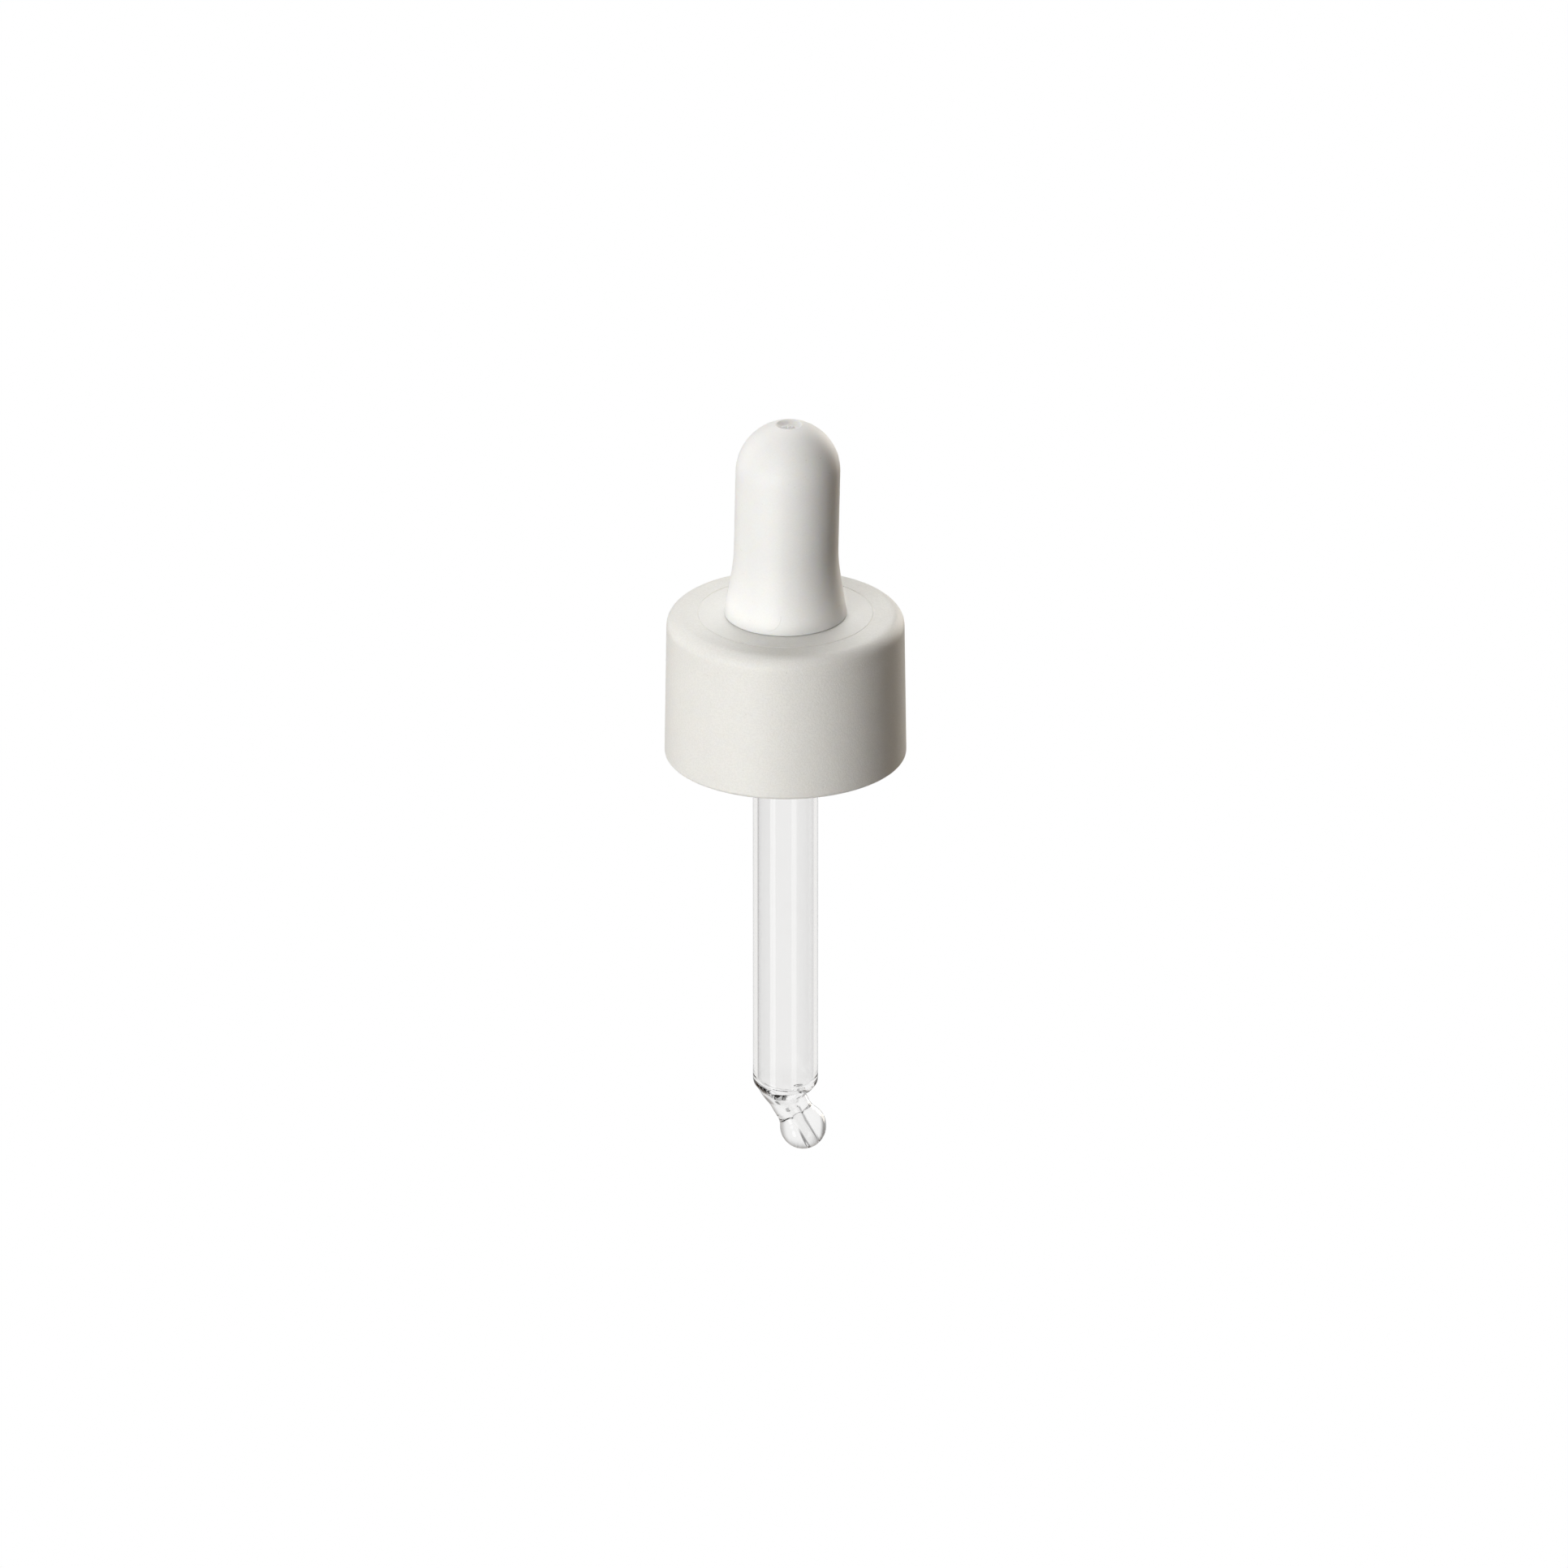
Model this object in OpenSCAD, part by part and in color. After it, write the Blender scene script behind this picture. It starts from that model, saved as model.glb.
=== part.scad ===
// Medicine dropper: a screw cap, a rubber squeeze bulb and a glass pipette with a bent ball tip.
// Millimetres, +Z up. The origin is on the pipette's axis, in the plane where the bulb's flange
// seals on the rim of a bottle neck. The pipette's tip bends towards +X.

/* [Screw cap] */
// Outside diameter at the mouth
cap_mouth_d = 25.9; // [25.4:0.1:30]
// Outside diameter at the top, less than the mouth's by the moulding draft
cap_top_d = 25.4; // [25:0.1:29]
// Height over all
cap_h = 16.2; // [14:0.1:22]
// Radius of the rounded top edge
cap_top_round = 1.5; // [0.6:0.1:1.8]
// Radius of the edge round the mouth
cap_mouth_round = 0.4; // [0.2:0.1:0.5]
// Thickness of the top plate
cap_plate_t = 1.3; // [1:0.1:2]
// Diameter of the hole in the top plate that holds the bulb's waist
cap_hole_d = 9.6; // [9:0.1:10.5]
// Diameter of the witness line that the mould's insert leaves on the top plate
witness_d = 18.8; // [15:0.1:21]
// Width of the witness line
witness_w = 0.2; // [0.1:0.05:0.3]
// Depth of the witness line
witness_depth = 0.06; // [0.03:0.01:0.12]

/* [Cap thread] */
// Diameter at the thread's root, which is the plain bore
thread_root_d = 22.2; // [22:0.1:23]
// Diameter at the thread's crest
thread_crest_d = 20.1; // [20:0.1:21]
// Pitch, eight threads to the inch
thread_pitch = 3.175; // [2.5:0.025:3.6]
// Length of the thread in turns
thread_turns = 1.5; // [1:0.25:2]
// Height of the thread's lower end above the mouth
thread_lead_in = 2.4; // [2.2:0.1:3.5]

/* [Rubber bulb] */
// Diameter of the flange under the top plate, which is also the bottle's gasket
flange_d = 19.4; // [17:0.1:20]
// Thickness of the flange
flange_t = 1.5; // [1:0.1:2]
// Diameter of the shoulder that stands on the cap
bulb_base_d = 13.1; // [12.5:0.1:14]
// Diameter of the straight part
bulb_d = 11.2; // [11:0.1:11.6]
// Height above the cap
bulb_h = 22; // [20:0.1:26]
// Slope of the shoulder from the vertical, in degrees
shoulder_slope = 9.4; // [8:0.1:12]
// Radius that blends the shoulder into the straight part
shoulder_blend = 20; // [10:1:22]
// Thickness of the wall round the air chamber
bulb_wall = 1.15; // [1:0.05:1.3]
// Diameter of the dimple in the top
dimple_d = 2.7; // [2:0.1:3]
// Depth of the dimple
dimple_depth = 0.6; // [0.4:0.05:0.7]

/* [Squeeze] */
// Width of each stretch of wall that a finger presses
grip_w = 6.4; // [5:0.1:6.6]
// Height of each such stretch
grip_h = 8; // [6:0.5:8]

/* [Glass pipette] */
// Outside diameter of the tube
tube_d = 7; // [6.8:0.05:7.1]
// Thickness of the tube's wall
tube_wall = 0.6; // [0.5:0.05:0.8]
// Length of tube held inside the bulb, above the origin
tube_in_bulb = 6; // [5:0.1:6.3]
// Distance from the origin down to the end of the straight tube
tube_drop = 52; // [40:0.5:70]
// Angle that the tip is bent through, in degrees
tip_bend = 27; // [20:1:32]
// Diameter of the ball at the tip
ball_d = 5; // [4.6:0.1:5.6]
// Diameter of the fine bore through the tip
tip_bore_d = 1; // [0.8:0.05:1.2]

/* [Hidden] */
$fn = 96;

overlap = 0.01;                                  // keeps a cut or a joined face off its neighbour's plane
seat_gap = 0.03;                                 // air left between faces that slide on each other
grip_gap = 0.1;                                  // slit round each pressed stretch of wall

cap_top_z = flange_t + cap_plate_t;
cap_mouth_z = cap_top_z - cap_h;
mouth_chamfer = 0.5;
cap_outline = [
    [0, cap_mouth_z],
    [cap_mouth_d / 2 - cap_mouth_round, cap_mouth_z],
    [cap_mouth_d / 2, cap_mouth_z + cap_mouth_round],
    [cap_top_d / 2, cap_top_z - cap_top_round],
    [cap_top_d / 2 - cap_top_round, cap_top_z],
    [0, cap_top_z]
];

thread_base_w = 1.9;                             // width of the thread where it leaves the wall
thread_crest_w = 0.8;                            // width of its crest
thread_bite = 0.3;                               // how deep its foot is sunk in the wall
thread_fade = 40;                                // degrees over which each end runs out
thread_step = 7.5;                               // degrees from one section to the next
thread_sections = round(thread_turns * 360 / thread_step);

bulb_base_z = cap_top_z + seat_gap;
bulb_top_z = cap_top_z + bulb_h;
waist_d = cap_hole_d - 2 * seat_gap;
base_round = 0.35;                               // tucked edge of the shoulder
corner_z = bulb_base_z + base_round + (bulb_base_d - bulb_d) / 2 / tan(shoulder_slope);
blend_reach = shoulder_blend * tan(shoulder_slope / 2);
blend_foot = [
    bulb_d / 2 + blend_reach * sin(shoulder_slope),
    corner_z - blend_reach * cos(shoulder_slope)
];
dome_z = bulb_top_z - bulb_d / 2;                // centre of the round top
crown_extra = 0.4;                               // more rubber under the dimple than in the walls
chamber_d = bulb_d - 2 * bulb_wall;
grip_tube_d = tube_d + 2 * seat_gap;
tube_stop_z = tube_in_bulb + 0.5;                // step above the tube's end
chamber_floor_z = tube_stop_z + 1.5;
dimple_round = (pow(dimple_d / 2, 2) + pow(dimple_depth, 2)) / 2 / dimple_depth;
dimple_rim_z = dome_z + sqrt(pow(bulb_d / 2, 2) - pow(dimple_d / 2, 2));
dimple_floor_z = dimple_rim_z - dimple_depth;
gate_mark_d = 0.9;
gate_mark_h = 0.15;
grip_mid_z = (blend_foot[1] + 2 * blend_reach + dome_z) / 2;

lumen_d = tube_d - 2 * tube_wall;
fire_round = 0.25;                               // rounding of the tube's fire-polished end
shoulder_taper = 36;                             // slope of the drawn-down glass from the vertical
drawn_end_d = 1.4;                               // where that cone ends, inside the ball
drawn_h = (tube_d - drawn_end_d) / 2 / tan(shoulder_taper);
bend_z = -tube_drop - 1.6;                       // where the tip's axis leaves the tube's
ball_from_bend = 4.05;                           // along the tip's axis
neck_d = [3.96, 3.5];                           // of the neck at the bend and at the ball's centre
lumen_end_z = -tube_drop + 0.5;                  // where the lumen starts to narrow
lumen_taper_h = 2.7;
funnel_end_d = 0.9 * tip_bore_d;

// Points of one section of the cap's thread, at a turn given in degrees
function thread_depth(turn) =
    let (left = min(turn, thread_turns * 360 - turn))
    max(0.05, min(1, left / thread_fade)) * (thread_root_d - thread_crest_d) / 2;
function thread_point(turn, r, dz) = [
    r * cos(turn),
    r * sin(turn),
    cap_mouth_z + thread_lead_in + thread_pitch * turn / 360 + dz
];
function thread_section(turn) = [
    thread_point(turn, thread_root_d / 2 + thread_bite, -thread_base_w / 2),
    thread_point(turn, thread_root_d / 2 + thread_bite, thread_base_w / 2),
    thread_point(turn, thread_root_d / 2 - thread_depth(turn), thread_crest_w / 2),
    thread_point(turn, thread_root_d / 2 - thread_depth(turn), -thread_crest_w / 2)
];

// One helical ridge, right-handed
module thread_ridge() {
    points = [for (i = [0 : thread_sections]) each thread_section(i * thread_step)];
    last = 4 * thread_sections;
    sides = [
        for (i = [0 : thread_sections - 1], k = [0 : 3])
            let (a = 4 * i + k, b = 4 * i + (k + 1) % 4)
            each [[a, b, a + 4], [b, b + 4, a + 4]]
    ];
    polyhedron(points, concat([[3, 2, 1, 0]], sides, [[last, last + 1, last + 2, last + 3]]));
}

module screw_cap() {
    color([0.88, 0.87, 0.85])
    union() {
        rotate_extrude()
        difference() {
            union() {
                polygon(cap_outline);
                translate([cap_top_d / 2 - cap_top_round, cap_top_z - cap_top_round])
                    circle(cap_top_round);
                translate([cap_mouth_d / 2 - cap_mouth_round, cap_mouth_z + cap_mouth_round])
                    circle(cap_mouth_round);
            }
            // bore, its chamfered mouth, and the hole in the top plate
            translate([-cap_mouth_d, cap_mouth_z - 1])
                square([cap_mouth_d + thread_root_d / 2, flange_t - cap_mouth_z + 1]);
            polygon([
                [0, cap_mouth_z - overlap],
                [thread_root_d / 2 + mouth_chamfer, cap_mouth_z - overlap],
                [thread_root_d / 2, cap_mouth_z + mouth_chamfer],
                [0, cap_mouth_z + mouth_chamfer]
            ]);
            translate([-cap_hole_d, 0])
                square([1.5 * cap_hole_d, cap_top_z + 1]);
            // witness line
            translate([(witness_d - witness_w) / 2, cap_top_z - witness_depth])
                square([witness_w, 1]);
        }
        thread_ridge();
    }
}

// Half section of the bulb's outside
module bulb_outline() {
    square([flange_d / 2, flange_t - seat_gap]);
    square([waist_d / 2, bulb_base_z + overlap]);
    polygon([
        [0, bulb_base_z],
        [bulb_base_d / 2 - base_round, bulb_base_z],
        [bulb_base_d / 2, bulb_base_z + base_round],
        [bulb_d / 2, corner_z],
        [bulb_d / 2, dome_z],
        [0, dome_z]
    ]);
    translate([bulb_base_d / 2 - base_round, bulb_base_z + base_round])
        circle(base_round);
    difference() {
        polygon([blend_foot, [bulb_d / 2, corner_z + blend_reach], [bulb_d / 2, corner_z]]);
        translate([bulb_d / 2 + shoulder_blend, corner_z + blend_reach])
            circle(shoulder_blend, $fn = 360);
    }
    intersection() {
        translate([0, dome_z])
            circle(bulb_d / 2);
        translate([0, dome_z - overlap])
            square(bulb_d);
    }
}

// Half section of the tube's seat and the air chamber
module chamber_outline() {
    translate([0, -1])
        square([grip_tube_d / 2, tube_stop_z + 1]);
    polygon([
        [0, tube_stop_z - overlap],
        [grip_tube_d / 2, tube_stop_z - overlap],
        [chamber_d / 2, chamber_floor_z],
        [chamber_d / 2, dome_z - crown_extra],
        [0, dome_z - crown_extra]
    ]);
    intersection() {
        translate([0, dome_z - crown_extra])
            circle(chamber_d / 2);
        translate([0, dome_z - crown_extra - overlap])
            square(chamber_d);
    }
}

// Block that bounds one pressed stretch of wall, grown by a margin; side is -1 or 1
module grip_block(side, margin) {
    translate([side * bulb_d / 2, 0, grip_mid_z])
        cube([bulb_d / 2, grip_w + 2 * margin, grip_h + 2 * margin], center = true);
}

module rubber_bulb() {
    color([0.93, 0.93, 0.91])
    union() {
        difference() {
            rotate_extrude()
            difference() {
                bulb_outline();
                chamber_outline();
            }
            translate([0, 0, dimple_floor_z + dimple_round])
                sphere(dimple_round);
            for (side = [-1, 1])
                grip_block(side, grip_gap);
        }
        translate([0, 0, dimple_floor_z - overlap])
            cylinder(h = gate_mark_h, d = gate_mark_d);
    }
}

module bulb_grip(side) {
    color([0.93, 0.93, 0.91])
    intersection() {
        difference() {
            cylinder(h = bulb_top_z, d = bulb_d);
            translate([0, 0, -1])
                cylinder(h = bulb_top_z + 2, d = chamber_d);
        }
        grip_block(side, 0);
    }
}

module bulb_grip_left() {
    bulb_grip(-1);
}

module bulb_grip_right() {
    bulb_grip(1);
}

// Half section of the straight tube's solid glass, with a rounded upper end and a drawn-down lower one
module tube_outline() {
    polygon([
        [0, -tube_drop - drawn_h],
        [drawn_end_d / 2, -tube_drop - drawn_h],
        [tube_d / 2, -tube_drop],
        [tube_d / 2, tube_in_bulb - fire_round],
        [tube_d / 2 - fire_round, tube_in_bulb],
        [0, tube_in_bulb]
    ]);
    translate([tube_d / 2 - fire_round, tube_in_bulb - fire_round])
        circle(fire_round);
}

// Places its children on the tip's axis, with +Z from the bend towards the ball
module on_tip_axis() {
    translate([0, 0, bend_z])
        rotate([0, 180 - tip_bend, 0])
            children();
}

module glass_pipette() {
    color([0.85, 0.9, 0.92, 0.45])
    difference() {
        union() {
            rotate_extrude()
                tube_outline();
            on_tip_axis()
                cylinder(h = ball_from_bend, d1 = neck_d[0], d2 = neck_d[1]);
            on_tip_axis()
                translate([0, 0, ball_from_bend])
                    sphere(d = ball_d);
        }
        translate([0, 0, lumen_end_z])
            cylinder(h = tube_in_bulb - lumen_end_z + 1, d = lumen_d);
        translate([0, 0, lumen_end_z - lumen_taper_h])
            cylinder(h = lumen_taper_h + overlap, d1 = funnel_end_d, d2 = lumen_d);
        on_tip_axis()
            cylinder(h = ball_from_bend + ball_d, d = tip_bore_d);
    }
}

screw_cap();
rubber_bulb();
bulb_grip_left();
bulb_grip_right();
glass_pipette();
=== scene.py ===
import math

import bmesh
import bpy
from mathutils import Matrix, Vector, noise


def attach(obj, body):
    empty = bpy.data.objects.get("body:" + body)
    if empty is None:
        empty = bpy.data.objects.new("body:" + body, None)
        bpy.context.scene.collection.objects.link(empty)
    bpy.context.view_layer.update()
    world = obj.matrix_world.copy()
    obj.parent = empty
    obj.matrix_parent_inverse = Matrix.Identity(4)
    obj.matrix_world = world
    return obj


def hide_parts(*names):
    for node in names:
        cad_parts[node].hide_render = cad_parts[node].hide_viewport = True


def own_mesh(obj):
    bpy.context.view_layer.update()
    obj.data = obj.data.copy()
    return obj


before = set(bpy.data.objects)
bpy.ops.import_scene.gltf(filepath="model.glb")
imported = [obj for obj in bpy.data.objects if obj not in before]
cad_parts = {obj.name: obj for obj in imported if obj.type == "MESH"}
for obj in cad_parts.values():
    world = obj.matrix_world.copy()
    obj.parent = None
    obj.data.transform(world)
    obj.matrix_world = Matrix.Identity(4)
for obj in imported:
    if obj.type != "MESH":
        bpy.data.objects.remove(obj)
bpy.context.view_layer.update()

# Sections are drawn in millimetres, and MM takes them to the frame's metres.
MM = 0.001
MERGE_DISTANCE = 1e-7


# ---------------------------------------------------------------- turned shapes

# A rounded corner has a point about every ARC_STEP, and one HOLD_DISTANCE beyond each of its ends.
ARC_STEP = 0.3
FEWEST_ARC_STEPS = 8
HOLD_DISTANCE = 0.05


def fillet(before, corner, after, radius):
    """Points of the arc that rounds a corner of a section, with a holding point on either side."""
    back = (before - corner).normalized()
    ahead = (after - corner).normalized()
    half = back.angle(ahead) / 2
    reach = radius / math.tan(half)
    middle = (back + ahead).normalized()
    centre = corner + middle * (radius / math.sin(half))
    start = corner + back * reach - centre
    end = corner + ahead * reach - centre
    turn = start.angle_signed(end)
    steps = max(FEWEST_ARC_STEPS, round(abs(turn) * radius / ARC_STEP))
    hold = min(HOLD_DISTANCE, 0.25 * radius)
    arc = [corner + back * (reach + hold)]
    for step in range(steps + 1):
        spoke = start.copy()
        spoke.rotate(Matrix.Rotation(-turn * step / steps, 2))
        arc.append(centre + spoke)
    arc.append(corner + ahead * (reach + hold))
    return arc


def section(corners, closed):
    """The points of a section from its corners, given as radius, height and rounding in millimetres."""
    points = [Vector(corner[:2]) for corner in corners]
    count = len(points)
    outline = []
    for index, corner in enumerate(corners):
        inside = closed or 0 < index < count - 1
        if len(corner) < 3 or not inside:
            outline.append(points[index])
            continue
        before = points[index - 1]
        after = points[(index + 1) % count]
        outline += fillet(before, points[index], after, corner[2])
    return outline


def turn_section(outline, closed, segments):
    """Spins a section round the upright axis into a closed skin."""
    bm = bmesh.new()
    verts = [bm.verts.new((point.x * MM, 0, point.y * MM)) for point in outline]
    edges = [bm.edges.new(pair) for pair in zip(verts, verts[1:])]
    if closed:
        edges.append(bm.edges.new((verts[-1], verts[0])))
    bmesh.ops.spin(
        bm, geom=verts + edges, cent=(0, 0, 0), axis=(0, 0, 1),
        angle=math.tau, steps=segments, use_merge=True,
    )
    bmesh.ops.remove_doubles(bm, verts=bm.verts, dist=MERGE_DISTANCE)
    return bm


def cut_rings(bm, heights):
    """Adds a ring of edges at each of these heights, in millimetres."""
    for height in heights:
        bmesh.ops.bisect_plane(
            bm, geom=bm.verts[:] + bm.edges[:] + bm.faces[:], dist=MERGE_DISTANCE,
            plane_co=(0, 0, height * MM), plane_no=(0, 0, 1),
        )


def ease(low, high, value):
    """Rises smoothly from 0 at low to 1 at high."""
    share = min(1, max(0, (value - low) / (high - low)))
    return share * share * (3 - 2 * share)


def finish_piece(bm, name, body, stands_for, material):
    """Turns a bmesh into a shown piece that moves with its body."""
    bmesh.ops.recalc_face_normals(bm, faces=bm.faces)
    for face in bm.faces:
        face.smooth = True
    mesh = bpy.data.meshes.new(name)
    bm.to_mesh(mesh)
    bm.free()
    mesh.materials.append(material)
    piece = bpy.data.objects.new(name, mesh)
    bpy.context.scene.collection.objects.link(piece)
    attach(piece, body)
    if stands_for:
        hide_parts(*stands_for)
    return piece


# ---------------------------------------------------------------- node helpers

class Wire:
    """An output socket whose arithmetic adds Math nodes."""

    def __init__(self, board, socket):
        self.board = board
        self.socket = socket

    def __add__(self, other):
        return self.board.math("ADD", self, other)

    def __sub__(self, other):
        return self.board.math("SUBTRACT", self, other)

    def __rsub__(self, other):
        return self.board.math("SUBTRACT", other, self)

    def __mul__(self, other):
        return self.board.math("MULTIPLY", self, other)

    def __truediv__(self, other):
        return self.board.math("DIVIDE", self, other)

    __radd__ = __add__
    __rmul__ = __mul__

    def root(self):
        return self.board.math("SQRT", self)

    def size(self):
        """The value without its sign."""
        return self.board.math("ABSOLUTE", self)

    def larger(self, other):
        return self.board.math("MAXIMUM", self, other)

    def smaller(self, other):
        return self.board.math("MINIMUM", self, other)

    def rise(self, low, high, start=0.0, end=1.0):
        """Goes smoothly from start to end as this value goes from low to high."""
        return self.board.add(
            "ShaderNodeMapRange", {"interpolation_type": "SMOOTHSTEP"},
            {"Value": self, "From Min": low, "From Max": high, "To Min": start, "To Max": end},
            "Result",
        )


class Board:
    """A node tree under construction."""

    def __init__(self, tree):
        self.tree = tree

    def node(self, kind, settings, sockets):
        """A node with its settings made first, then the values or links of its sockets."""
        made = self.tree.nodes.new(kind)
        for name, value in settings.items():
            setattr(made, name, value)
        for name, value in sockets.items():
            if isinstance(value, Wire):
                self.tree.links.new(value.socket, made.inputs[name])
            else:
                made.inputs[name].default_value = value
        return made

    def add(self, kind, settings, sockets, output=0):
        """A wire from one output of a new node."""
        return Wire(self, self.node(kind, settings, sockets).outputs[output])

    def math(self, operation, first, second=0.0):
        """A wire with the result of one sum."""
        return self.add("ShaderNodeMath", {"operation": operation}, {0: first, 1: second})

    def place(self):
        """The point on the piece, in metres, as one vector and as its x, y and z."""
        where = self.add("ShaderNodeTexCoord", {}, {}, "Object")
        axes = self.node("ShaderNodeSeparateXYZ", {}, {0: where})
        return where, [Wire(self, output) for output in axes.outputs]

    def cloud(self, where, scale, detail=2.0, rough=0.5):
        """Soft random blotches about 1 / scale metres across."""
        return self.add(
            "ShaderNodeTexNoise", {},
            {"Vector": where, "Scale": scale, "Detail": detail, "Roughness": rough}, "Fac",
        )

    def blend(self, share, first, second):
        """A colour between two others."""
        return self.add(
            "ShaderNodeMix", {"data_type": "RGBA"}, {0: share, 6: first, 7: second}, 2,
        )

    def bump(self, height, strength, distance, onto=None):
        """A normal that follows a fine relief, laid over another relief if one is given."""
        sockets = {"Height": height, "Strength": strength, "Distance": distance}
        if onto:
            sockets["Normal"] = onto
        return self.add("ShaderNodeBump", {}, sockets)


def new_finish(name):
    """An empty material and the board for its nodes."""
    material = bpy.data.materials.new(name)
    material.use_nodes = True
    material.node_tree.nodes.clear()
    return material, Board(material.node_tree)


def close_finish(board, sockets):
    """Ends a material with a Principled shader."""
    skin = board.add("ShaderNodeBsdfPrincipled", {}, sockets)
    board.node("ShaderNodeOutputMaterial", {}, {"Surface": skin})


# ---------------------------------------------------------------- finishes

def moulded_plastic():
    """Cream plastic from a sand-blasted mould, smoother on the disc round the bulb."""
    material, board = new_finish("moulded_cap_plastic")
    where, (x, y, z) = board.place()
    from_axis = (x * x + y * y).root()
    within_ring = from_axis.rise((RING_RADIUS - 0.07) * MM, (RING_RADIUS - 0.03) * MM, 1, 0)
    on_disc = within_ring * z.rise((CAP_TOP - 0.2) * MM, (CAP_TOP - 0.1) * MM)
    sand = board.cloud(where, 5200, 3, 0.7)
    mottle = board.cloud(where, 420, 3, 0.6)
    speckled_areas = board.cloud(where, 300).rise(0.5, 0.62)
    specks = board.cloud(where, 4600, 0, 0).rise(0.80, 0.83) * speckled_areas
    # The inside of the cap, below its top plate, is painted darker: painted shade in the hollow.
    within_bore = from_axis.rise((CAP_BORE + 0.2) * MM, (CAP_BORE + 0.5) * MM, 1, 0)
    inside = within_bore * z.rise((PLATE_UNDER - 1.0) * MM, PLATE_UNDER * MM, 1, 0)
    cream = (0.825, 0.822, 0.786, 1)
    pale_cream = (0.855, 0.853, 0.818, 1)
    sand_pits = (0.70, 0.695, 0.66, 1)
    smooth_disc = (0.84, 0.838, 0.812, 1)
    # The colour of the painted shade inside the cap.
    painted_bore_shade = (0.74, 0.72, 0.68, 1)
    grit = (0.42, 0.39, 0.35, 1)
    tone = board.blend(mottle, cream, pale_cream)
    tone = board.blend(sand.rise(0.38, 0.62) * 0.3, tone, sand_pits)
    tone = board.blend(on_disc * 0.3, tone, smooth_disc)
    # Painted shade darkens the inside of the cap.
    tone = board.blend(inside * 0.25, tone, painted_bore_shade)
    tone = board.blend(specks * 0.22, tone, grit)
    roughness = mottle * 0.08 + sand * 0.10 + on_disc.rise(0, 1, 0.40, 0.27)
    relief = board.bump(sand, 0.8, 0.00004)
    relief = board.bump(mottle, 0.10, 0.00006, relief)
    close_finish(board, {
        "Base Color": tone, "Roughness": roughness, "Normal": relief, "Specular IOR Level": 0.45,
        "Subsurface Weight": 0.12, "Subsurface Scale": 0.0012,
        "Subsurface Radius": (1.0, 0.75, 0.45),
    })
    return material


def white_rubber():
    """Satin white rubber with a faint ripple, dust specks and one small curved scratch."""
    material, board = new_finish("white_bulb_rubber")
    where, (x, y, z) = board.place()
    skin = board.cloud(where, 5600, 3, 0.7)
    ripple = board.cloud(where, 260, 2, 0.5)
    dusty_areas = board.cloud(where, 330).rise(0.5, 0.65)
    dust = board.cloud(where, 5000, 0, 0).rise(0.81, 0.84) * dusty_areas
    # The scratch is the lower right quarter of a ring, on the front near the foot.
    across = x + 2.1 * MM
    up = z - 4.9 * MM
    from_centre = (across * across + up * up).root()
    scratch = (from_centre - 1.6 * MM).size().rise(0.02 * MM, 0.06 * MM, 1, 0)
    scratch = scratch * across.rise(0.0, 0.5 * MM) * up.rise(-0.1 * MM, 0.3 * MM, 1, 0)
    scratch = scratch * y.rise(-4.0 * MM, -3.0 * MM, 1, 0)
    white = (0.872, 0.875, 0.857, 1)
    bright_white = (0.896, 0.899, 0.882, 1)
    skin_pits = (0.77, 0.765, 0.735, 1)
    dust_grey = (0.45, 0.42, 0.38, 1)
    scratch_grey = (0.62, 0.60, 0.56, 1)
    tone = board.blend(ripple, white, bright_white)
    tone = board.blend(skin.rise(0.38, 0.62) * 0.16, tone, skin_pits)
    tone = board.blend(dust * 0.3, tone, dust_grey)
    tone = board.blend(scratch * 0.25, tone, scratch_grey)
    roughness = ripple * 0.08 + skin * 0.10 + 0.44
    relief = board.bump(skin, 0.35, 0.00002)
    relief = board.bump(ripple, 0.20, 0.00012, relief)
    relief = board.bump(scratch, 0.4, 0.00002, relief)
    close_finish(board, {
        "Base Color": tone, "Roughness": roughness, "Normal": relief, "Specular IOR Level": 0.5,
        "Subsurface Weight": 0.25, "Subsurface Scale": 0.0012,
        "Subsurface Radius": (1.0, 0.75, 0.45),
    })
    return material


def drawn_glass():
    """Clear drawn tubing, with faint lines along the draw and a trace of haze."""
    clear = (0.944, 0.942, 0.939, 1)
    hazy = (0.929, 0.926, 0.922, 1)
    material, board = new_finish("drawn_clear_glass")
    where = board.place()[0]
    stretched = board.add(
        "ShaderNodeMapping", {}, {"Vector": where, "Scale": (1.0, 1.0, 0.03)},
    )
    draw_lines = board.cloud(stretched, 900, 2, 0.5)
    haze = board.cloud(where, 350, 3, 0.6).rise(0.55, 0.8)
    tone = board.blend(haze, clear, hazy)
    close_finish(board, {
        "Base Color": tone, "Roughness": haze * 0.03 + 0.005,
        "Normal": board.bump(draw_lines, 0.06, 0.00004),
        "IOR": 1.48, "Transmission Weight": 1.0,
    })
    return material


# ---------------------------------------------------------------- the screw cap

CAP_TOP = 2.8
CAP_MOUTH = -13.4
CAP_TOP_RADIUS = 12.70
CAP_MOUTH_RADIUS = 12.95
CAP_BORE = 11.1
CAP_HOLE = 4.80
PLATE_UNDER = 1.50
RING_RADIUS = 9.40
RING_DEPTH = 0.055
CAP_SEGMENTS = 192
THREAD_PITCH = 3.175
THREAD_TURNS = 1.5
THREAD_START = CAP_MOUTH + 2.4
# The part of a turn over which the thread runs out at each end.
THREAD_FADE = 0.11
# The share of its height that the ridge keeps where it runs out, so that it stays a solid.
THREAD_LEAST = 0.02
THREAD_SEGMENTS = 96


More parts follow.
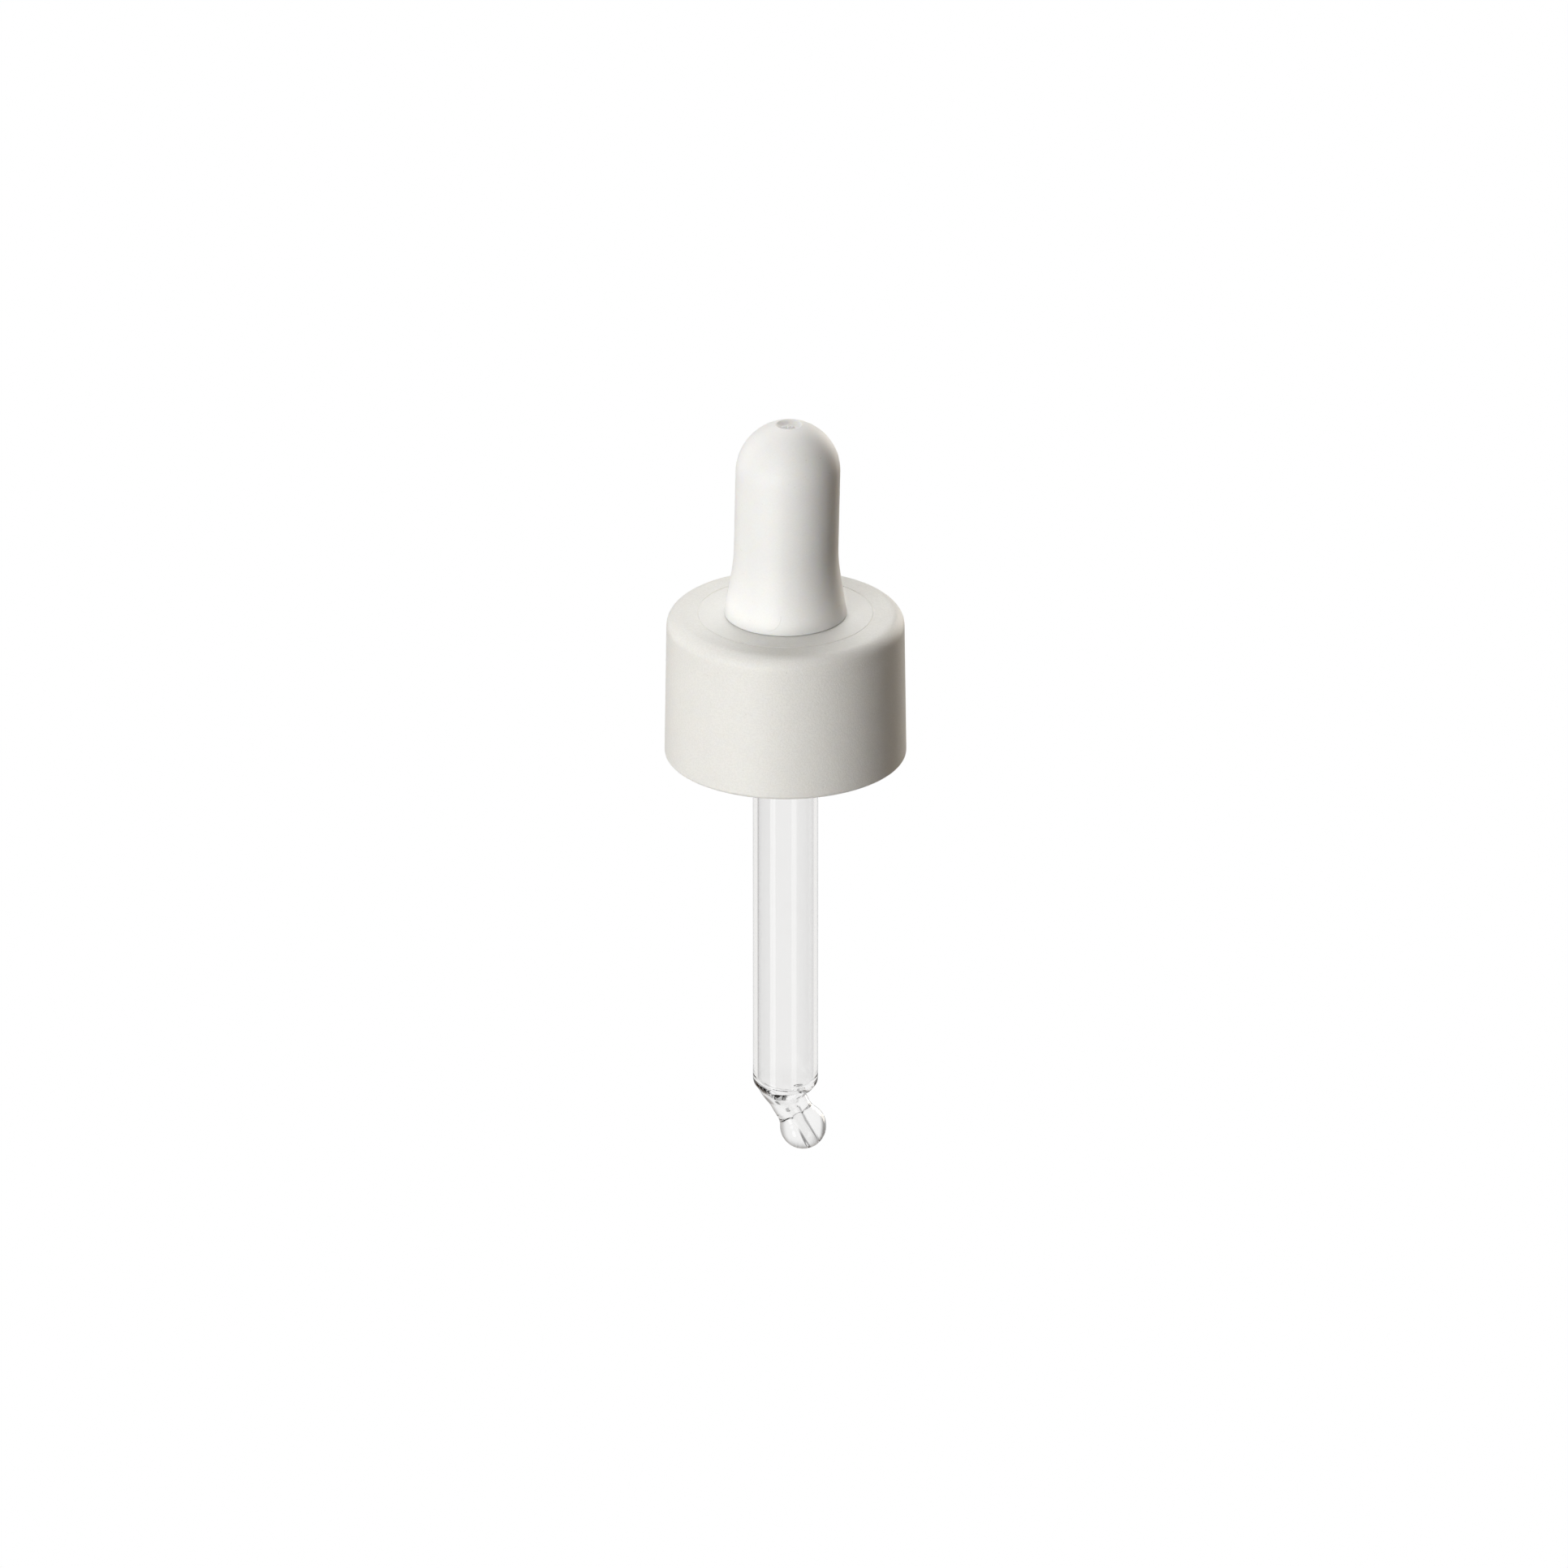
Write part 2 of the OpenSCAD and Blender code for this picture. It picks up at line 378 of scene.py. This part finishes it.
def make_cap(material):
    """The cap's shell: skirt, rounded top, the fine ring round the disc and the bulb's hole."""
    ring_floor = CAP_TOP - RING_DEPTH
    corners = [
        (CAP_HOLE, PLATE_UNDER, 0.08), (CAP_HOLE, CAP_TOP, 0.10),
        (RING_RADIUS - 0.10, CAP_TOP, 0.02), (RING_RADIUS - 0.06, ring_floor, 0.01),
        (RING_RADIUS + 0.06, ring_floor, 0.01), (RING_RADIUS + 0.10, CAP_TOP, 0.02),
        (CAP_TOP_RADIUS, CAP_TOP, 1.45), (CAP_MOUTH_RADIUS, CAP_MOUTH, 0.40),
        (CAP_BORE + 0.45, CAP_MOUTH, 0.10), (CAP_BORE, CAP_MOUTH + 0.5, 0.10),
        (CAP_BORE, PLATE_UNDER, 0.40),
    ]
    bm = turn_section(section(corners, True), True, CAP_SEGMENTS)
    return finish_piece(bm, "cap_shell", "cap", ["screw_cap"], material)


def make_cap_thread(material):
    """The cap's inner thread: a ridge spun up the bore, run out to nothing at both ends."""
    bm = bmesh.new()
    ridge = [
        (0.25, -0.95), (0.0, -0.95), (-0.95, -0.42), (-1.05, -0.26),
        (-1.05, 0.26), (-0.95, 0.42), (0.0, 0.95), (0.25, 0.95),
    ]
    verts = [
        bm.verts.new(((CAP_BORE + out) * MM, 0, (THREAD_START + up) * MM)) for out, up in ridge
    ]
    bmesh.ops.spin(
        bm, geom=[bm.faces.new(verts)], cent=(0, 0, 0), axis=(0, 0, 1),
        dvec=(0, 0, THREAD_PITCH * MM / THREAD_SEGMENTS),
        angle=THREAD_TURNS * math.tau, steps=round(THREAD_TURNS * THREAD_SEGMENTS),
    )
    for vert in bm.verts:
        turned = math.atan2(vert.co.y, vert.co.x) / math.tau % 1
        climbed = (vert.co.z / MM - THREAD_START) / THREAD_PITCH
        turn = turned + round(climbed - turned)
        full = ease(0, THREAD_FADE, turn) * ease(0, THREAD_FADE, THREAD_TURNS - turn)
        out = math.hypot(vert.co.x, vert.co.y) / MM
        kept = max(full, THREAD_LEAST)
        wanted = CAP_BORE + (out - CAP_BORE) * kept if out < CAP_BORE else out
        vert.co.x *= wanted / out
        vert.co.y *= wanted / out
    return finish_piece(bm, "cap_thread", "cap", [], material)


# ---------------------------------------------------------------- the squeeze bulb

BULB_RADIUS = 5.58
DOME_CENTRE = 19.21
SHOULDER = 8.92
FOOT_RADIUS = 6.58
FOOT = CAP_TOP + 0.03
WAIST_RADIUS = 4.77
FLANGE_RADIUS = 9.70
FLANGE_TOP = 1.47
SEAT_RADIUS = 3.53
SEAT_TOP = 6.50
CHAMBER_RADIUS = 4.45
CHAMBER_FLOOR = 8.00
CHAMBER_TOP = 23.25
DIMPLE_RADIUS = 1.38
DIMPLE_DEPTH = 0.60
DIMPLE_SQUARENESS = 2.6
DIMPLE_RIM = 0.03
BULB_LEAN = 0.4
BULB_SEGMENTS = 144
DOME_STEPS = 36
DIMPLE_STEPS = 16


def dome_height(out):
    """Height of the bulb's round top at this distance from its axis."""
    return DOME_CENTRE + math.sqrt(BULB_RADIUS ** 2 - out ** 2)


def press_dimple(bm):
    """Sinks the dimple in the crown and raises the torn gate mark at its bottom."""
    for vert in bm.verts:
        out = math.hypot(vert.co.x, vert.co.y) / MM
        if out > 2 * DIMPLE_RADIUS or vert.co.z / MM < DOME_CENTRE + 4.5:
            continue
        sunk = 1 - min(1, out / DIMPLE_RADIUS) ** DIMPLE_SQUARENESS
        rim = math.exp(-((out - DIMPLE_RADIUS - 0.06) / 0.10) ** 2)
        # The gate mark is a small torn nub.
        torn = noise.noise(vert.co * 5200) * 0.30 + noise.noise(vert.co * 11000) * 0.14 + 0.12
        nub = (1 - ease(0.50, 0.90, out)) * torn
        crown = max(0, dome_height(out) - dome_height(DIMPLE_RADIUS))
        vert.co.z += (rim * DIMPLE_RIM + nub - DIMPLE_DEPTH * sunk - crown) * MM


def make_bulb(material):
    """The rubber bulb with its air chamber, from the chamber's top down and round to the crown."""
    corners = [
        (0.0, CHAMBER_TOP), (CHAMBER_RADIUS, CHAMBER_TOP, 4.35), (CHAMBER_RADIUS, CHAMBER_FLOOR, 0.40),
        (SEAT_RADIUS, SEAT_TOP, 0.20), (SEAT_RADIUS, 0.0, 0.10),
        (FLANGE_RADIUS, 0.0, 0.25), (FLANGE_RADIUS, FLANGE_TOP, 0.25),
        (WAIST_RADIUS, FLANGE_TOP, 0.10), (WAIST_RADIUS, FOOT, 0.05),
        (FOOT_RADIUS, FOOT, 0.14), (BULB_RADIUS, SHOULDER, 20.0), (BULB_RADIUS, DOME_CENTRE),
    ]
    outline = section(corners, False)
    crown_angle = 1.6 * math.asin(DIMPLE_RADIUS / BULB_RADIUS)
    for step in range(1, DOME_STEPS + 1):
        angle = math.pi / 2 - (math.pi / 2 - crown_angle) * step / DOME_STEPS
        outline.append(Vector((
            BULB_RADIUS * math.sin(angle), DOME_CENTRE + BULB_RADIUS * math.cos(angle),
        )))
    for step in range(DIMPLE_STEPS * 3 // 2, -1, -1):
        out = DIMPLE_RADIUS * step / DIMPLE_STEPS
        outline.append(Vector((out, dome_height(out))))
    bm = turn_section(outline, False, BULB_SEGMENTS)
    # Rings along the flared and the straight wall, so that the bulb is pressed in smoothly.
    cut_rings(bm, [4.0, 5.0, 6.0, 7.0] + [8.9 + 0.7 * step for step in range(15)])
    press_dimple(bm)
    for vert in bm.verts:
        vert.co.x += BULB_LEAN * MM * ease(CAP_TOP, 30, vert.co.z / MM)
    return finish_piece(
        bm, "squeeze_bulb", "bulb",
        ["rubber_bulb", "bulb_grip_left", "bulb_grip_right"], material,
    )


# The heights between which the wall begins to give, and then stops giving, under the fingers.
PRESSED_FROM = (7.2, 13.2)
PRESSED_TO = (16.8, 24.6)
HEAD_GIVE = 0.22
WIDENING = 0.34
# The head comes down by HEAD_SINKS over these heights.
HEAD = (18.5, 24.8)
HEAD_SINKS = 0.4


def let_bulb_give(bulb):
    """Pressed between two fingers, the bulb flattens and widens above the glass, and keeps its foot."""
    mesh = bulb.data
    rest = mesh.attributes.new("rest_place", "FLOAT_VECTOR", "POINT")
    places = [number for vert in mesh.vertices for number in vert.co]
    rest.data.foreach_set("vector", places)
    widest = max(abs(vert.co.x) for vert in mesh.vertices)
    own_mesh(bulb)
    tree = bpy.data.node_groups.new("finger_squeeze", "GeometryNodeTree")
    tree.interface.new_socket("Geometry", in_out="INPUT", socket_type="NodeSocketGeometry")
    tree.interface.new_socket("Geometry", in_out="OUTPUT", socket_type="NodeSocketGeometry")
    board = Board(tree)
    shape = board.add("NodeGroupInput", {}, {})
    home = board.add(
        "GeometryNodeInputNamedAttribute", {"data_type": "FLOAT_VECTOR"}, {"Name": "rest_place"},
    )
    here = board.add("GeometryNodeInputPosition", {}, {})
    home_axes = board.node("ShaderNodeSeparateXYZ", {}, {0: home})
    here_axes = board.node("ShaderNodeSeparateXYZ", {}, {0: here})
    x, y, z = [Wire(board, output) for output in home_axes.outputs]
    pressed_x = Wire(board, here_axes.outputs[0])
    furthest = board.add(
        "GeometryNodeAttributeStatistic", {"data_type": "FLOAT", "domain": "POINT"},
        {"Geometry": shape, "Attribute": (x - pressed_x).size()}, "Max",
    )
    # The squash keeps half the width, so its furthest point moves half the widest x at full press.
    share = furthest / (0.5 * widest)
    low, high = [height * MM for height in PRESSED_FROM]
    gives = z.rise(low, high)
    low, high = [height * MM for height in PRESSED_TO]
    gives = gives * z.rise(low, high, 1, HEAD_GIVE)
    new_x = x + (pressed_x - x) * gives
    new_y = y + y * share * gives * WIDENING
    low, high = [height * MM for height in HEAD]
    new_z = z - share * z.rise(low, high) * (HEAD_SINKS * MM)
    put = board.add("ShaderNodeCombineXYZ", {}, {0: new_x, 1: new_y, 2: new_z})
    moved = board.add("GeometryNodeSetPosition", {}, {"Geometry": shape, "Position": put})
    board.node("NodeGroupOutput", {}, {0: moved})
    modifier = bulb.modifiers.new("finger_squeeze", "NODES")
    modifier.node_group = tree


# ---------------------------------------------------------------- the glass pipette

TUBE_RADIUS = 3.50
LUMEN_RADIUS = 2.90
TUBE_TOP = 6.0
TUBE_MIDDLE = -30.0
NECK_RADIUS = 1.93
# Depths along the straight tube, before its tip is bent.
BEND_AT = 53.72
BEND_ANGLE = math.radians(27)
BEND_RADIUS = 4.0
BALL_AT = 57.87
BALL_RADIUS = 2.5
BALL_STEPS = 28
# The ball's round surface runs from where the neck enters it to the edge of its exit.
NECK_IN_BALL = 2.08
EXIT_EDGE = 0.78
EXIT_RADIUS = 0.72
BORE_RADIUS = 0.55
TUBE_SEGMENTS = 128


def bend_tip(bm):
    """Carries the part below the bend round an arc towards +X."""
    start = BEND_AT - BEND_RADIUS * math.tan(BEND_ANGLE / 2)
    for vert in bm.verts:
        down = -vert.co.z / MM - start
        if down <= 0:
            continue
        turn = min(down / BEND_RADIUS, BEND_ANGLE)
        beyond = down - turn * BEND_RADIUS
        line = Vector((
            BEND_RADIUS * (1 - math.cos(turn)), 0, -start - BEND_RADIUS * math.sin(turn),
        ))
        line += Vector((math.sin(turn), 0, -math.cos(turn))) * beyond
        across = Vector((math.cos(turn), 0, math.sin(turn))) * vert.co.x
        sideways = Vector((0, vert.co.y, 0))
        vert.co = line * MM + across + sideways


def make_pipette(material):
    """The glass tube, from its middle down outside, round the ball, and up inside to its upper end."""
    outside = section([
        (TUBE_RADIUS, TUBE_MIDDLE), (TUBE_RADIUS, -52.05, 1.10), (2.00, -54.07, 1.20),
        (NECK_RADIUS, -56.0),
    ], False)
    # The neck flares a little where it runs into the ball.
    waist = [Vector((1.925, -55.67)), Vector((1.95, -55.97)), Vector((2.01, -56.21))]
    first = math.asin(NECK_IN_BALL / BALL_RADIUS)
    last = math.pi - math.asin(EXIT_EDGE / BALL_RADIUS)
    ball = []
    for step in range(BALL_STEPS + 1):
        angle = first + (last - first) * step / BALL_STEPS
        ball.append(Vector((
            BALL_RADIUS * math.sin(angle), -BALL_AT + BALL_RADIUS * math.cos(angle),
        )))
    exit_at = -BALL_AT - math.sqrt(BALL_RADIUS ** 2 - EXIT_RADIUS ** 2)
    lip = section([
        (0.9, exit_at + 0.02), (BORE_RADIUS, exit_at - 0.06, 0.12), (BORE_RADIUS, -58.0),
    ], False)
    bore_line = [Vector((BORE_RADIUS, -58.5 + 0.5 * step)) for step in range(6)]
    inside = section([
        (BORE_RADIUS, -56.0), (BORE_RADIUS, -55.32, 0.5), (1.10, -53.32, 0.5),
        (LUMEN_RADIUS, -51.95, 1.5), (LUMEN_RADIUS, TUBE_TOP, 0.28),
        (TUBE_RADIUS, TUBE_TOP, 0.28), (TUBE_RADIUS, TUBE_MIDDLE),
    ], False)
    outline = outside[:-1] + waist + ball + lip[1:-1] + bore_line + inside[1:-1]
    bm = turn_section(outline, True, TUBE_SEGMENTS)
    # Close rings let the shoulder and neck bend smoothly.
    cut_rings(bm, [-52.4 - 0.2 * step for step in range(19)])
    bend_tip(bm)
    return finish_piece(bm, "glass_dropper", "pipette", ["glass_pipette"], material)


# ---------------------------------------------------------------- studio

FLOOR_HALF_WIDTH = 0.3
FLOOR_HEIGHT = -0.36
PANEL_DISTANCE = 0.9
PANELS_AIM = (0, 0, -0.02)
CAMERA_TILT = math.radians(23.8)
CAMERA_DISTANCE = 2.5
CAMERA_AIM = (-0.00016, 0, -0.0172)
VIEW_WIDTH = 0.168
SENSOR_WIDTH = 36


def make_floor():
    """A plain pale floor, well below the hanging object and hidden from rays through its glass."""
    bm = bmesh.new()
    bmesh.ops.create_grid(bm, x_segments=1, y_segments=1, size=FLOOR_HALF_WIDTH)
    bmesh.ops.translate(bm, verts=bm.verts, vec=(0, 0, FLOOR_HEIGHT))
    mesh = bpy.data.meshes.new("studio_floor")
    bm.to_mesh(mesh)
    bm.free()
    material, board = new_finish("pale_floor")
    close_finish(board, {"Base Color": (0.8, 0.8, 0.79, 1), "Roughness": 0.8})
    mesh.materials.append(material)
    floor = bpy.data.objects.new("studio_floor", mesh)
    floor.visible_transmission = False
    floor.visible_glossy = False
    bpy.context.scene.collection.objects.link(floor)


def make_world():
    """A white studio: dim where it lights the object, plain white where it is looked at."""
    warm = (1.0, 0.45, 0.02, 1)
    plain = (1, 1, 1, 1)
    world = bpy.data.worlds.new("white_studio")
    world.use_nodes = True
    world.node_tree.nodes.clear()
    board = Board(world.node_tree)
    where = board.add("ShaderNodeTexCoord", {}, {}, "Generated")
    axes = board.node("ShaderNodeSeparateXYZ", {}, {0: where})
    right, back, up = [Wire(board, output) for output in axes.outputs]
    above = up.rise(0.3, 0.95)
    behind = back.rise(0.2, 0.9)
    ray = board.node("ShaderNodeLightPath", {}, {})
    through = Wire(board, ray.outputs["Is Transmission Ray"])
    seen = Wire(board, ray.outputs["Is Camera Ray"])
    mirrored = Wire(board, ray.outputs["Is Glossy Ray"]) * behind
    left = right * -1
    front = back * -1
    # Grey cards above, at both sides and in front, which only rays through the glass meet.
    shade = up.rise(0.0, 0.8) * 0.5 + right.rise(0.5, 0.95) * 0.5
    shade = shade + left.rise(0.55, 0.82) * left.rise(0.92, 1.0, 1, 0) * 0.7
    shade = (shade + front.rise(0.5, 1.0) * 0.2).smaller(0.7)
    # What lights the object: a weak top light, a trace of bounce and a bright back in its gloss.
    glow = above * 0.148 + 0.026 + mirrored * 0.5
    strength = glow + (1.0 - shade - glow) * through
    strength = strength + (1.0 - strength) * seen
    tint = board.blend(seen.larger(through).larger(above).larger(mirrored), warm, plain)
    sky = board.add("ShaderNodeBackground", {}, {"Color": tint, "Strength": strength})
    board.node("ShaderNodeOutputWorld", {}, {"Surface": sky})
    bpy.context.scene.world = world


def add_softbox(name, azimuth, elevation, width, height, power, colour=(1, 1, 1)):
    """A soft panel aimed at the object. Azimuth 0 is in front of it and 90 on its right.

    The panels below the object are round and only give its glass and gloss their glints.
    """
    lamp = bpy.data.lights.new(name, "AREA")
    lamp.shape = "RECTANGLE" if elevation > 0 else "ELLIPSE"
    lamp.size = width
    lamp.size_y = height
    lamp.energy = power
    lamp.color = colour
    turn = math.radians(azimuth)
    rise = math.radians(elevation)
    towards = Vector((
        math.sin(turn) * math.cos(rise), -math.cos(turn) * math.cos(rise), math.sin(rise),
    ))
    panel = bpy.data.objects.new(name, lamp)
    panel.location = towards * PANEL_DISTANCE + Vector(PANELS_AIM)
    panel.rotation_euler = towards.to_track_quat("Z", "Y").to_euler()
    panel.visible_diffuse = elevation > 0
    panel.visible_transmission = False
    bpy.context.scene.collection.objects.link(panel)
    return panel


def flag_off(panels, piece):
    """Keeps the light of these panels off one piece, so that their square shapes aren't mirrored."""
    flagged = bpy.data.collections.new("flagged_off")
    flagged.objects.link(piece)
    flagged.collection_objects[0].light_linking.link_state = "EXCLUDE"
    for panel in panels:
        panel.light_linking.receiver_collection = flagged


def make_camera():
    """A long lens, looking down at the object's front."""
    lens = bpy.data.cameras.new("camera")
    lens.sensor_width = SENSOR_WIDTH
    lens.lens = SENSOR_WIDTH * CAMERA_DISTANCE / VIEW_WIDTH
    lens.clip_start = 0.1
    lens.clip_end = 20
    camera = bpy.data.objects.new("camera", lens)
    away = Vector((0, -math.cos(CAMERA_TILT), math.sin(CAMERA_TILT)))
    camera.location = Vector(CAMERA_AIM) + away * CAMERA_DISTANCE
    camera.rotation_euler = away.to_track_quat("Z", "Y").to_euler()
    bpy.context.scene.collection.objects.link(camera)
    bpy.context.scene.camera = camera


plastic = moulded_plastic()
make_cap(plastic)
make_cap_thread(plastic)
bulb = make_bulb(white_rubber())
let_bulb_give(bulb)
pipette = make_pipette(drawn_glass())

make_floor()
make_world()
low_key = add_softbox("low_key", -29, 2, 0.3, 0.5, 5.4)
high_key = add_softbox("high_key", -20, 55, 0.5, 0.5, 2.1)
add_softbox("left_fill", -65, 12, 0.5, 0.5, 1.15)
add_softbox("left_rim", -122, 4, 0.5, 0.6, 2.0)
add_softbox("right_rim", 144, 4, 0.5, 0.6, 3.6, (1, 0.94, 0.84))
add_softbox("top_rim", 180, 50, 0.6, 0.6, 4.1)
add_softbox("left_glint", -46, -24, 0.3, 0.5, 0.8)
add_softbox("right_glint", 30, -24, 0.27, 0.5, 0.45)
flag_off([low_key, high_key], pipette)
make_camera()
bpy.context.scene.view_settings.view_transform = "Standard"
bpy.context.scene.cycles.glossy_bounces = 12
